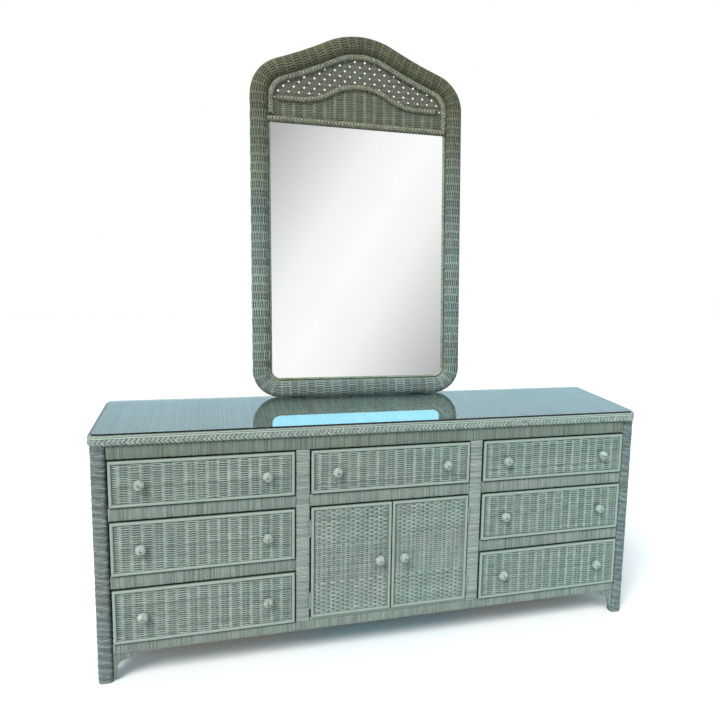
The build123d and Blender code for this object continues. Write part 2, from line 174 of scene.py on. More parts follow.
class Nodes:
    """A tree of shader nodes, put together one node at a time."""

    def __init__(self, tree):
        self.tree = tree

    def node(self, kind, **settings):
        made = self.tree.nodes.new("ShaderNode" + kind)
        for key, value in settings.items():
            setattr(made, key, value)
        return made

    def feed(self, socket, value):
        """Gives a socket its value: another socket, or a number or colour that stays the same."""
        if isinstance(value, bpy.types.NodeSocket):
            self.tree.links.new(value, socket)
        else:
            socket.default_value = value

    def place(self, space):
        """Where a point is, as X, Y and Z."""
        split = self.node("SeparateXYZ")
        self.feed(split.inputs["Vector"], self.node("TexCoord").outputs[space])
        return split.outputs

    def ramp(self, value, low, high, start=0.0, stop=1.0, shape="LINEAR"):
        """A value stretched so that low gives start and high gives stop."""
        made = self.node("MapRange", interpolation_type=shape)
        limits = {"From Min": low, "From Max": high, "To Min": start, "To Max": stop, "Value": value}
        for name, setting in limits.items():
            self.feed(made.inputs[name], setting)
        return made.outputs["Result"]

    def mix(self, factor, first, second):
        """Two colours mixed: factor is how much of the second there is."""
        made = self.node("Mix", data_type="RGBA")
        for name, value in (("Factor", factor), ("A", first), ("B", second)):
            kind = "VALUE" if name == "Factor" else "RGBA"
            self.feed(next(s for s in made.inputs if s.name == name and s.type == kind), value)
        return next(s for s in made.outputs if s.type == "RGBA")

    def math(self, operation, *values):
        made = self.node("Math", operation=operation)
        for socket, value in zip(made.inputs, values):
            self.feed(socket, value)
        return made.outputs["Value"]


class Paint(Nodes):
    """A Principled material, with patterns that have their real scale in the frame of the model."""

    def __init__(self, name, coat=0.0, coat_roughness=0.03):
        self.material = bpy.data.materials.new(name)
        self.material.use_nodes = True
        super().__init__(self.material.node_tree)
        self.shader = self.tree.nodes["Principled BSDF"]
        self.shader.inputs["Coat Weight"].default_value = coat
        self.shader.inputs["Coat Roughness"].default_value = coat_roughness

    def noise(self, scale, detail=3.0, stretch=(1.0, 1.0, 1.0)):
        mapping = self.node("Mapping")
        self.feed(mapping.inputs["Scale"], stretch)
        self.feed(mapping.inputs["Vector"], self.node("TexCoord").outputs["Object"])
        made = self.node("TexNoise")
        self.feed(made.inputs["Scale"], scale)
        self.feed(made.inputs["Detail"], detail)
        self.feed(made.inputs["Vector"], mapping.outputs["Vector"])
        return made.outputs["Fac"]

    def lit_from_right(self, colour, patch):
        """A colour with painted light: it turns bluer and lighter towards the right of the dresser, as
        under a cool light from the right.
        """
        cool = tuple(share * more for share, more in zip(patch, right_light_tint))
        return self.mix(self.ramp(self.place("Object")["X"], *right_light_range, 0.0, 0.8), colour, cool)

    def bump(self, height, strength, distance):
        made = self.node("Bump")
        self.feed(made.inputs["Strength"], strength)
        self.feed(made.inputs["Distance"], distance)
        self.feed(made.inputs["Height"], height)
        self.feed(self.shader.inputs["Normal"], made.outputs["Normal"])

    def finish(self, colour, roughness):
        self.feed(self.shader.inputs["Base Color"], colour)
        self.feed(self.shader.inputs["Roughness"], roughness)
        return self.material


def cane_paint(name, paint, patch, crevice_shade, patchy=0.5, aged=None, between=0.12):
    """Painted cane with patches of another tint, and painted shade between the strands and on sunk
    strands, painted light on the ridges.

    aged is a tint that the paint has turned to high up, nearest to the light. between is how much of the
    paint shows through the painted shade between the strands, whose colour is the fourth argument.
    """
    made = Paint(name, 0.08, 0.35)
    split = made.node("SeparateColor")
    made.feed(split.inputs["Color"], made.node("Attribute", attribute_name="weave").outputs["Color"])
    tone, ridge, light_share = split.outputs
    clouds = made.ramp(made.noise(5.0), 0.42, 0.62, 0.0, patchy)
    # painted light, bluer and lighter towards the right
    base = made.lit_from_right(made.mix(clouds, paint, patch), patch)
    if aged is not None:
        base = made.mix(made.ramp(made.place("Object")["Z"], *aged_range), base, aged)
    toned = made.node("VectorMath", operation="SCALE")
    made.feed(toned.inputs[0], base)
    made.feed(toned.inputs["Scale"], made.ramp(tone, 0.0, 1.0, 0.66, 1.26))
    speckle = made.noise(260.0, 2.0)
    # painted shade: darker on sunk strands and on the sides of each strand, painted light on the ridges
    sunk_shade = made.ramp(light_share, 0.0, 1.0, 0.22, 1.0)
    height = made.math("MULTIPLY", made.ramp(ridge, 0.0, 0.9, between, 1.0), sunk_shade)
    wear = made.math("MULTIPLY", made.ramp(speckle, 0.50, 0.66), made.ramp(height, 0.8, 1.0))
    worn = made.mix(made.math("MULTIPLY", wear, 0.45), toned.outputs["Vector"], tint(206, 212, 204))
    colour = made.mix(height, crevice_shade, worn)
    made.bump(made.noise(900.0), 0.35, 0.4 * mm)
    return made.finish(colour, made.ramp(speckle, 0.3, 0.7, 0.46, 0.66))


def smooth_paint(name, paint, worn):
    """Paint on turned and moulded wood, with brush marks and thin places."""
    made = Paint(name, 0.12, 0.3)
    marks = made.noise(60.0, 4.0)
    clouds = made.noise(9.0)
    colour = made.mix(made.ramp(marks, 0.35, 0.75, 0.0, 0.55), paint, worn)
    soiled = made.mix(made.ramp(clouds, 0.45, 0.75, 0.0, 0.25), colour, tint(120, 132, 118))
    made.bump(made.noise(420.0), 0.25, 0.3 * mm)
    # painted light, bluer and lighter towards the right
    return made.finish(made.lit_from_right(soiled, worn), made.ramp(marks, 0.3, 0.7, 0.36, 0.56))


def wood(name, light, dark, stretch):
    """Bare wood, with its grain along the axis that the stretch leaves long."""
    made = Paint(name)
    grain = made.noise(60.0, 6.0, stretch)
    broad = made.noise(9.0, 2.0, stretch)
    fine = made.mix(made.ramp(grain, 0.35, 0.68), light, dark)
    colour = made.mix(made.ramp(broad, 0.4, 0.7, 0.0, 0.5), fine, dark)
    made.bump(grain, 0.25, 0.5 * mm)
    return made.finish(colour, made.ramp(grain, 0.3, 0.7, 0.55, 0.75))


def glass_sheet():
    """Clear glass with the faint green of a plain sheet."""
    made = Paint("clear_glass_sheet")
    made.shader.inputs["Transmission Weight"].default_value = 1.0
    made.shader.inputs["IOR"].default_value = 1.5
    smears = made.noise(6.0, 4.0)
    colour = made.mix(made.ramp(smears, 0.4, 0.7), (0.93, 0.985, 0.975, 1.0), (0.90, 0.97, 0.965, 1.0))
    return made.finish(colour, made.ramp(smears, 0.45, 0.75, 0.0, 0.03))


def silvered_glass():
    """The mirror's silvering, with a faint haze."""
    made = Paint("mirror_silvering")
    made.shader.inputs["Metallic"].default_value = 1.0
    haze = made.noise(4.0, 4.0)
    colour = made.mix(made.ramp(haze, 0.4, 0.7), (0.97, 0.975, 0.975, 1.0), (0.95, 0.96, 0.96, 1.0))
    return made.finish(colour, made.ramp(haze, 0.4, 0.7, 0.0, 0.02))


def hinge_metal():
    """Steel hinges under the same paint, worn in spots."""
    made = Paint("hinge_paint")
    made.shader.inputs["Metallic"].default_value = 0.6
    spots = made.noise(700.0)
    colour = made.mix(made.ramp(spots, 0.45, 0.65), tint(120, 130, 122), tint(160, 162, 150))
    made.bump(spots, 0.2, 0.2 * mm)
    return made.finish(colour, made.ramp(spots, 0.3, 0.7, 0.3, 0.5))


# the colour of the painted shade between strands of cane
gap_shade = tint(30, 42, 34)
aged_olive = tint(100, 98, 62)
cane_front = cane_paint(
    "cane_fronts", tint(152, 160, 146), tint(137, 153, 141), gap_shade, 0.7, between=0.36
)
cane_door = cane_paint(
    "cane_doors", tint(154, 162, 150), tint(139, 155, 144), gap_shade, 0.7, between=0.34
)
cane_rail = cane_paint("cane_rails", tint(138, 145, 132), tint(124, 138, 127), gap_shade)
# a darker copy of the rails' paint for the top rail: painted shade under the overhanging rim
cane_shaded_rail = cane_paint("cane_shaded_rails", tint(120, 128, 112), tint(106, 120, 106), gap_shade)
cane_post = cane_paint("cane_posts", tint(114, 120, 115), tint(102, 118, 114), gap_shade, between=0.3)
cane_stile = cane_paint("cane_stiles", tint(152, 158, 147), tint(136, 152, 142), gap_shade)
cane_rim = cane_paint("cane_rim", tint(150, 158, 144), tint(136, 152, 140), gap_shade)
cane_top = cane_paint("cane_top", tint(156, 170, 158), tint(126, 152, 143), tint(16, 26, 22))
cane_tube = cane_paint(
    "cane_tube", tint(144, 154, 140), tint(130, 146, 140), tint(24, 34, 28), 0.8, aged_olive
)
cane_crest = cane_paint("cane_crest", tint(126, 126, 100), tint(112, 120, 100), tint(26, 30, 20), 0.7)
cane_band = cane_paint("cane_bands", tint(105, 102, 75), tint(94, 98, 77), tint(22, 26, 18), 0.7)
cane_lattice = cane_paint("cane_lattice", tint(88, 84, 61), tint(79, 81, 63), tint(18, 22, 15), 0.7)
cane_liner = cane_paint("cane_liner", tint(150, 150, 110), tint(150, 168, 150), tint(60, 62, 36), 0.8)
cane_knob = cane_paint("cane_knobs", tint(158, 166, 154), tint(142, 158, 148), tint(50, 62, 54))
moulding_paint = smooth_paint("moulding_paint", tint(138, 147, 134), tint(122, 136, 124))
board_paint = smooth_paint("board_paint", tint(120, 132, 122), tint(104, 118, 110))
# a dark board behind the cane: painted shade between the strands and beside the mouldings
shade_board = smooth_paint("board_behind_cane_in_shade", tint(48, 60, 52), tint(38, 50, 42))
grain_across = wood("wood_grain_across", tint(196, 168, 128), tint(160, 128, 88), (0.12, 1.0, 1.0))
grain_deep = wood("wood_grain_deep", tint(190, 162, 122), tint(152, 122, 84), (1.0, 0.12, 1.0))
grain_upright = wood("wood_grain_upright", tint(176, 150, 116), tint(140, 112, 80), (1.0, 1.0, 0.12))
hinge_paint = hinge_metal()
glass_paint = glass_sheet()
silver_paint = silvered_glass()


# ---- strands ----
def uneven_tone(shape, spread=0.2, dark_share=0.2):
    """How light each strand is along its length: most are alike, and a few are much darker."""
    tone = 0.6 + spread * rng.standard_normal((shape[0], 1))
    tone = tone - 0.5 * (rng.random((shape[0], 1)) < dark_share)
    return tone + 0.12 * np.sin(np.linspace(0, 9, shape[1])[None] + 20 * tone)


class Weave:
    """Strands and boards that become one mesh.

    Each point keeps three shares from 0 to 1 for the paint: how light its strand is, how near it is to
    the ridge of the strand, which gets painted light, and how far the strand is lifted out of the weave,
    which sets painted shade.
    """

    def __init__(self):
        self.points = []
        self.shades = []
        self.faces = []
        self.places = []
        self.count = 0
        self.cells = 0
        self.length = 0.0
        self.girth = 0.0

    def grid(self, points, shades, round_n=False, round_k=False):
        """Adds sheets of quads. points has the shape (sheets, n, k, 3)."""
        sheets, n, k = points.shape[:3]
        steps = n if round_n else n - 1
        bands = k if round_k else k - 1
        sheet, i, j = np.meshgrid(range(sheets), range(steps), range(bands), indexing="ij")
        corners = ((i, j), (i + 1, j), (i + 1, j + 1), (i, j + 1))
        index = [self.count + (sheet * n + a % n) * k + b % k for a, b in corners]
        place = [np.stack((a / steps, b / bands, sheet + self.cells), -1) for a, b in corners]
        self.points.append(points.reshape(-1, 3))
        self.shades.append(np.broadcast_to(shades, points.shape).reshape(-1, 3))
        self.faces.append(np.stack(index, -1).reshape(-1, 4))
        self.places.append(np.stack(place, -2).reshape(-1, 3))
        self.length += np.linalg.norm(np.diff(points[:, :, 0], axis=1), axis=-1).sum()
        self.girth += np.linalg.norm(np.diff(points[:, 0], axis=1), axis=-1).sum()
        self.count += sheets * n * k
        self.cells += sheets

    def strands(self, centres, normals, half_width, height, light_share=1.0, sides=3, closed=False, tone=None):
        """Adds half-round strands along rows of centres, which has the shape (strands, n, 3)."""
        centres = np.asarray(centres, float)
        normals = np.broadcast_to(normals, centres.shape)
        if closed:
            along = np.roll(centres, -1, 1) - np.roll(centres, 1, 1)
        else:
            along = np.gradient(centres, axis=1)
        across = np.cross(along, normals)
        across /= np.linalg.norm(across, axis=-1, keepdims=True) + 1e-12
        angles = np.linspace(0.0, pi, sides + 1)
        shape = centres.shape[:2]
        wide = np.broadcast_to(half_width, shape)[..., None, None]
        high = np.broadcast_to(height, shape)[..., None, None]
        around = np.cos(angles)[:, None]
        out = np.sin(angles)[:, None]
        points = centres[:, :, None] + across[:, :, None] * wide * around
        points = points + normals[:, :, None] * high * out
        if tone is None:
            tone = uneven_tone(shape)
        shades = np.zeros(points.shape)
        shades[..., 0] = np.clip(tone, 0.0, 1.0)[..., None]
        shades[..., 1] = np.sin(angles)
        shades[..., 2] = np.broadcast_to(light_share, shape)[..., None]
        self.grid(points, shades, round_n=closed)

    def prism(self, loop, sweep, shade=(0.4, 0.25, 0.3)):
        """Adds a closed board: a loop of an even number of points, swept along a vector, in painted
        shade unless given other shares.
        """
        loop = np.asarray(loop, float)
        both = np.stack((loop, loop + sweep))
        self.grid(both[None].transpose(0, 2, 1, 3), shade, round_n=True)
        half = len(loop) // 2
        near = np.stack((loop[:half], loop[half:][::-1]), 1)
        self.grid(near[None], shade)
        self.grid((near + sweep)[None, ::-1], shade)

    def piece(self, name, material, body, replaces=(), slot="painted_cane", sharp=70):
        """Turns what was gathered into a named piece that rides on a body."""
        mesh = bpy.data.meshes.new(name)
        points = np.concatenate(self.points).astype(np.float32)
        faces = np.concatenate(self.faces)
        mesh.vertices.add(len(points))
        mesh.vertices.foreach_set("co", points.ravel())
        mesh.loops.add(faces.size)
        mesh.loops.foreach_set("vertex_index", faces.ravel().astype(np.int32))
        mesh.polygons.add(len(faces))
        mesh.polygons.foreach_set("loop_start", np.arange(0, faces.size, 4, dtype=np.int32))
        mesh.update(calc_edges=True)
        shades = np.concatenate(self.shades)
        colours = np.concatenate((shades, np.ones((len(shades), 1))), 1).astype(np.float32)
        mesh.attributes.new("weave", "FLOAT_COLOR", "POINT").data.foreach_set("color", colours.ravel())
        place = np.concatenate(self.places)
        columns = max(1, round((self.cells * self.girth / max(self.length, self.girth)) ** 0.5))
        rows = -(-self.cells // columns)
        margin = 0.06
        u = (place[:, 2] % columns + margin + place[:, 0] * (1 - 2 * margin)) / columns
        v = (place[:, 2] // columns + margin + place[:, 1] * (1 - 2 * margin)) / rows
        layer = mesh.uv_layers.new(name="OFBake")
        layer.data.foreach_set("uv", np.stack((u, v), 1).astype(np.float32).ravel())
        mesh.set_sharp_from_angle(angle=radians(sharp))
        made = bpy.data.objects.new(name, mesh)
        bpy.context.scene.collection.objects.link(made)
        mesh.materials.append(material)
        if replaces:
            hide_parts(*replaces)
        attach(made, body)
        return made


def solids(node):
    """The boxes of a CAD node's separate solids, from left to right, front to back and low to high."""
    work = bmesh.new()
    work.from_mesh(nodes[node].data)
    bmesh.ops.remove_doubles(work, verts=work.verts, dist=1e-6)
    left = set(work.verts)
    boxes = []
    while left:
        queue = [left.pop()]
        found = list(queue)
        while queue:
            for edge in queue.pop().link_edges:
                for vertex in edge.verts:
                    if vertex in left:
                        left.remove(vertex)
                        queue.append(vertex)
                        found.append(vertex)
        points = np.array([vertex.co for vertex in found])
        boxes.append((points.min(0), points.max(0)))
    work.free()
    return sorted(boxes, key=lambda box: tuple(np.round(box[0], 4)))


def middles(length, count):
    """The middles of equal shares of a length."""
    return (np.arange(count) + 0.5) * length / count


def even_rows(length, pitch):
    """The middles of the rows of one pitch that a length has room for."""
    return (np.arange(int(length / pitch)) + 0.5) * pitch


def drift(u, v, size=0.45 * mm):
    """How far a strand wanders from its row, smoothly over the surface."""
    slow = np.sin(2 * pi * (u / 0.131 + v / 0.233) + 1.0)
    quick = np.sin(2 * pi * (u / 0.057 - v / 0.119) + 2.0)
    return size * (slow + 0.7 * quick)


def rounded(corners, radii, closed=False, steps=4, between=2):
    """Points along a path through corners, each rounded, and their normals to the right of the path."""
    corners = np.asarray(corners, float)
    points = []
    count = len(corners)
    for i, (corner, radius) in enumerate(zip(corners, radii)):
        if radius == 0:
            points.append([corner])
            continue
        back = corners[i - 1] - corner
        ahead = corners[(i + 1) % count] - corner
        back /= np.linalg.norm(back)
        ahead /= np.linalg.norm(ahead)
        middle = corner + radius * (back + ahead)
        turn = np.linspace(0.0, pi / 2, steps + 1)[:, None]
        points.append(middle - radius * (ahead * np.cos(turn) + back * np.sin(turn)))
    path = []
    for i, group in enumerate(points):
        path.extend(group)
        if i + 1 < count or closed:
            start = group[-1]
            stop = points[(i + 1) % count][0]
            path.extend(start + (stop - start) * step / between for step in range(1, between))
    path = np.array(path)
    if closed:
        heading = np.roll(path, -1, 0) - np.roll(path, 1, 0)
    else:
        heading = np.gradient(path, axis=0)
    heading /= np.linalg.norm(heading, axis=1, keepdims=True)
    normals = np.stack((heading[:, 1], -heading[:, 0]), 1)
    return path, normals


def wound_bar(weave, box, axis, face, pitch):
    """A rail with cane wound round three of its sides: the face and the two beside it.

    axis and face are unit vectors, along the bar and out of its face.
    """
    low, high = box
    side = np.abs(np.cross(axis, face))
    width = float((high - low) @ side)
    length = float((high - low) @ np.abs(axis))
    outer = np.where(face > 0, high, low)
    corner = outer * np.abs(face) + low * (1 - np.abs(face))
    handed = float(np.cross(side, face) @ axis)
    corners = [(width, -rail_wound), (width, 0), (0, 0), (0, -rail_wound)]
    path, normals = rounded(corners, [0, rail_round, rail_round, 0], steps=3)
    path = path - normals * gauge
    count = max(2, round(length / pitch))
    place = middles(length, count)
    swerve = drift(path[None, :, 0] + path[None, :, 1], place[:, None] * 3, 0.35 * mm)
    sunk = 0.55 * mm * np.abs(rng.standard_normal((count, 1, 1)))
    out = normals[:, :1] * side + normals[:, 1:] * face
    centres = corner + path[None, :, :1] * side + path[None, :, 1:] * face
    centres = centres - sunk * out + (place[:, None] + swerve)[..., None] * np.abs(axis)
    weave.strands(centres, out[None], lap * length / count, gauge, 0.85)
    near, far = 1.9 * gauge, width - 1.9 * gauge
    loop = [(near, -rail_wound), (near, -near), (far, -near), (far, -rail_wound)]
    if handed < 0:
        loop = loop[::-1]
    weave.prism([corner + a * side + b * face for a, b in loop], length * np.abs(axis))


def corners_of(low, high):
    """The four corners of a box across its first two axes."""
    return [(low[0], low[1]), (high[0], low[1]), (high[0], high[1]), (low[0], high[1])]


def wound_post(weave, low, high):
    """An upright post with cane wound round all of it, drawn in a little at the foot."""
    path, normals = rounded(corners_of(low, high), [post_round] * 4, closed=True)
    height = high[2] - low[2]
    count = round(height / post_pitch)
    z = low[2] + middles(height, count)
    thick = 1.3 * gauge
    inset = thick + np.clip(foot_round - (z - low[2]), 0.0, foot_round) * 0.5
    flat = path[None] - normals[None] * inset[:, None, None]
    around = np.linspace(0.0, 2 * pi, len(path), endpoint=False)[None]
    lumps = 0.5 + 0.5 * np.sin(2 * around + z[:, None] * 310 + 2 * np.sin(z[:, None] * 41))
    sunk = 0.7 * mm * np.minimum(np.abs(rng.standard_normal((count, 1))), 1.5) + 0.8 * mm * lumps
    flat = flat - normals[None] * sunk[..., None]
    level = np.clip(np.minimum(z - low[2], high[2] - z) / (14 * mm), 0.0, 1.0)[:, None]
    wander = 1.1 * mm * np.sin(3 * around + z[:, None] * 60)
    wander = level * (wander + 0.8 * mm * np.sin(5 * around - z[:, None] * 97))
    centres = np.concatenate((flat, (z[:, None] + wander)[..., None]), -1)
    out = np.concatenate((normals, np.zeros((len(normals), 1))), 1)
    # the sunk lumps take painted shade
    weave.strands(centres, out[None], lap * height / count, thick, 1.0 - 0.45 * lumps, closed=True)
    core = path - normals * 3.2 * gauge
    off_floor = 0.3 * foot_round
    loop = np.concatenate((core, np.full((len(core), 1), low[2] + off_floor)), 1)
    weave.prism(loop, Z * (height - off_floor))


def woven(weave, face, heights, reach, stake, swing,
          thick=flat_gauge, together=1, number=None, stake_top=None, mix=(0.1, 0.06)):
    """Rows of cane that pass in front of and behind upright stakes, on a flat face.

    face is (corner, along, up, out). reach is where the rows start and stop, which may differ from row
    to row. number counts the rows, of which so many together pass on the same side of a stake.
    stake_top gives how high the stake at a place goes. Half-way between two stakes all the rows are
    level, and make an upright rib with painted light on it, which fades in some places. Strands behind
    the stakes and near the ends take painted shade. mix is how uneven the rows are in tone.
    """
    corner, along, up, out = face
    left, right = (np.broadcast_to(end, heights.shape) for end in reach)
    parity = (np.arange(len(heights)) if number is None else number) // together
    step = min(4.2 * mm, stake / 3.5)
    count = max(8, int(np.max(right - left) / step))
    u = left[:, None] + (right - left)[:, None] * np.linspace(0.0, 1.0, count)
    wave = np.cos(pi * (u / stake + parity[:, None]))
    v = heights[:, None] + drift(u, heights[:, None])
    pitch = abs(heights[-1] - heights[0]) / max(1, len(heights) - 1)
    uneven = 0.3 * mm * rng.standard_normal((len(heights), 1))
    fade = 0.72 + 0.28 * np.sin(u * 41 + 5 * np.sin(v * 23)) * np.sin(v * 37 + 2 * np.sin(u * 29) + 1.0)
    rib = np.exp(-((wave / 0.42) ** 2)) * fade
    deep = swing * (1.1 + 0.9 * wave + 0.6 * rib) + np.minimum(uneven, 0.0)
    centres = corner + u[..., None] * along + v[..., None] * up + deep[..., None] * out
    jitter = 1 + 0.08 * rng.standard_normal((len(heights), 1))
    inner = np.minimum(u - left[:, None], right[:, None] - u)
    # painted light on the strands in front and on the rib, painted shade on those behind
    light_share = np.clip(0.60 + 0.18 * wave + 0.42 * rib, 0.0, 1.0)
    # more painted shade near the ends, beside the moulding
    light_share = light_share * np.clip(0.4 + inner / (6 * mm), 0.0, 1.0)
    streaks = 0.16 * np.sin(u * 613 + 3 * np.sin(u * 97)) + 0.12 * np.sin(u * 1381 + v * 23)
    tone = uneven_tone(u.shape, *mix) + streaks
    weave.strands(centres, out, lap * pitch * jitter, thick, light_share, tone=tone)
    first = int(np.ceil(left.min() / stake + 0.15))
    last = int(np.floor(right.max() / stake - 0.15))
    places = np.arange(first, last + 1) * stake
    low = heights.min() - pitch / 2
    tops = np.full(len(places), heights.max() + pitch / 2)
    if stake_top is not None:
        tops = stake_top(places)
    rise = low + (tops - low)[:, None] * np.linspace(0.0, 1.0, 8)
    centres = corner + places[:, None, None] * along + rise[..., None] * up + 0.7 * swing * out
    # the stakes, in painted shade
    weave.strands(centres, out, min(0.2 * stake, 4 * mm), 0.8 * swing, 0.25)


# ---- the case: posts, rails, stiles, side panels and brackets ----
def make_case():
    posts = Weave()
    for low, high in solids("corner_posts"):
        wound_post(posts, low, high)
    posts.piece("posts_wound_cane", cane_post, "root", ["corner_posts"])

    # the top rail takes the darker copy: painted shade under the rim
    paints = {"top_rail": cane_shaded_rail, "bottom_rail": cane_rail, "divider_rails": cane_rail}
    for node, paint in paints.items():
        rails = Weave()
        for box in solids(node):
            wound_bar(rails, box, X, -Y, rail_pitch)
        rails.piece(f"{node}_wound_cane", paint, "root", [node])

    stiles = Weave()
    for box in solids("centre_stiles"):
        wound_bar(stiles, box, Z, -Y, post_pitch)
    stiles.piece("stiles_wound_cane", cane_stile, "root", ["centre_stiles"])

    sides = Weave()
    boards = Weave()
    for low, high in solids("case_rails"):
        if high[1] - low[1] > high[0] - low[0]:
            outwards = X if low[0] > 0 else -X
            wound_bar(sides, (low, high), Y, outwards, rail_pitch)
        else:
            bevelled_board(boards, low, high, 2 * mm)
    sides.piece("side_rails_wound_cane", cane_rail, "root", ["case_rails"])
    boards.piece("rear_rails", board_paint, "root", ["case_rails"], "bare_wood", 30)

    panels = Weave()
    for low, high in solids("side_panels"):
        right = low[0] > 0
        out = X if right else -X
        corner = np.array([high[0] if right else low[0], low[1], low[2]])
        rows = even_rows(high[2] - low[2], row_pitch)
        woven(panels, (corner, Y, Z, out), rows, (0.0, high[1] - low[1]), front_stakes, side_swing)
    panels.piece("side_panels_woven", cane_front, "root")


def wound_brackets():
    """Upright cane over the front and the shaped lower edge of the foot brackets."""
    shape = nodes["foot_brackets"].data
    points = [vertex.co for vertex in shape.vertices]
    tree = BVHTree.FromPolygons(points, [face.vertices[:] for face in shape.polygons])
    weave = Weave()
    for low, high in solids("foot_brackets"):
        width = high[0] - low[0]
        for x in low[0] + middles(width, int(width / rail_pitch)):
            below = Vector((x, (low[1] + high[1]) / 2, -1.0))
            bottom = tree.ray_cast(below, Vector(Z))[0].z
            if high[2] - bottom < 5 * mm:
                continue
            bend = [(0.0, 6 * mm), (0.0, 3 * mm), (1 * mm, 0.8 * mm), (4 * mm, 0.0)]
            places = [(low[1] + back, bottom + rise) for back, rise in bend]
            places = [(low[1], high[2]), *places, (high[1], bottom)]
            centres = np.array([[(x + 0.3 * mm * sin(9000 * x), y, z) for y, z in places]])
            tilt = np.array([0.0, 0.0, 0.4, 0.9, 1.4, 1.57])[:, None]
            weave.strands(centres, -Y * np.cos(tilt) - Z * np.sin(tilt), 0.52 * rail_pitch, gauge, 0.8)
    weave.piece("foot_brackets_wound_cane", cane_rail, "root")


def bevelled_board(weave, low, high, bevel):
    """A board along X with its long edges taken off."""
    path, _ = rounded(corners_of(low[1:], high[1:]), [bevel] * 4, closed=True, steps=2, between=1)
    loop = np.concatenate((np.full((len(path), 1), low[0]), path), 1)
    weave.prism(loop, X * (high[0] - low[0]), (0.5, 1.0, 1.0))


make_case()
wound_brackets()


# ---- drawer fronts and doors ----
def weave_front(node, name, body, material, is_door):
    """The woven panel inside the moulding of a drawer front or a door."""
    low, high = (np.array(corner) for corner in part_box(node))
    corner = np.array([low[0] + front_border, low[1], low[2] + front_border])
    width = high[0] - low[0] - 2 * front_border
    height = high[2] - low[2] - 2 * front_border
    rows = middles(height, int(height / row_pitch))
    number = np.arange(len(rows))
    bands = [(number, front_stakes, 1)]
    if is_door:
        low_band, high_band = number < 0.3 * len(rows), number > 0.68 * len(rows)
        bands = [(number[low_band], door_stakes, 2), (number[high_band], door_stakes, 2)]
        bands.append((number[~low_band & ~high_band], door_stakes, 1))
    weave = Weave()
    for band, stake, together in bands:
        face = (corner, X, Z, -Y)
        woven(weave, face, rows[band], (0.0, width), stake, front_swing, gauge, together, band)
    weave.piece(name, material, body)


def wound_knobs(node, name, body):
    """Round knobs covered with cane that runs from the tip to the neck."""
    weave = Weave()
    for low, high in solids(node):
        radius = (high[0] - low[0]) / 2
        centre = np.array([(low[0] + high[0]) / 2, low[1] + radius, (low[2] + high[2]) / 2])
        count = 16
        thick = 2.2 * mm
        turn = np.arange(count)[:, None] * 2 * pi / count
        tilt = np.linspace(radians(9), radians(146), 14)[None]  # from the tip to the neck
        angle = turn + 0.35 * tilt + 0.06 * np.sin(4 * tilt + 3 * turn)
        out = np.sin(tilt)[..., None] * (np.cos(angle)[..., None] * X + np.sin(angle)[..., None] * Z)
        out = out - np.cos(tilt + 0 * angle)[..., None] * Y
        half = radius * np.sin(tilt) * pi / count * 1.05 + 0 * angle
        weave.strands(centre + (radius - thick) * out, out, half, thick, 1.0, sides=4)
        core = radius - 1.8 * mm
        profile = [(0.02, -1.0), (0.5, -0.87), (0.87, -0.5), (1.0, 0.0), (0.87, 0.5), (0.55, 0.84)]
        rings = [(share * core, rise * core) for share, rise in profile]
        rings.append((0.55 * radius, high[1] - centre[1]))
        sweep = np.linspace(0, 2 * pi, 24, endpoint=False)
        skin = [
            centre + r * (np.cos(sweep)[:, None] * X + np.sin(sweep)[:, None] * Z) + y * Y
            for r, y in rings
        ]
        weave.grid(np.array(skin)[None], (0.5, 0.7, 0.6), round_k=True)
    weave.piece(name, cane_knob, body, [node])


def make_fronts():
    for body in frame["bodies"]:
        if body.startswith("drawer"):
            weave_front(f"{body}_front", f"{body}_woven_front", body, cane_front, False)
            wound_knobs(f"{body}_knobs", f"{body}_wound_knobs", body)
        if body.startswith("door"):
            weave_front(f"{body}_panel", f"{body}_woven_panel", body, cane_door, True)
            wound_knobs(f"{body}_knob", f"{body}_wound_knob", body)


make_fronts()


# ---- the top: woven board and braided rim ----
class Route:
    """A plane curve of straight runs and arcs, read by the distance along it.

    steps are (length, turn) pairs: the turn, to the left, is spread evenly over the length.
    """

    def __init__(self, start, heading, steps):
        ends = np.concatenate(([0.0], np.cumsum([length for length, turn in steps])))
        headings = heading + np.concatenate(([0.0], np.cumsum([turn for length, turn in steps])))
        self.length = ends[-1]
        self.s = np.linspace(0.0, self.length, int(self.length / (0.5 * mm)))
        self.heading = np.interp(self.s, ends, headings)
        step = self.s[1]
        middle = (self.heading[1:] + self.heading[:-1]) / 2
        self.u = start[0] + np.concatenate(([0.0], np.cumsum(np.cos(middle)))) * step
        self.v = start[1] + np.concatenate(([0.0], np.cumsum(np.sin(middle)))) * step

    def at(self, s, left=0.0):
        """Both coordinates at distances along the curve, moved to the left, and the way to the left."""
        heading = np.interp(s, self.s, self.heading)
        to_left = (-np.sin(heading), np.cos(heading))
        u = np.interp(s, self.s, self.u) + left * to_left[0]
        v = np.interp(s, self.s, self.v) + left * to_left[1]
        return u, v, to_left


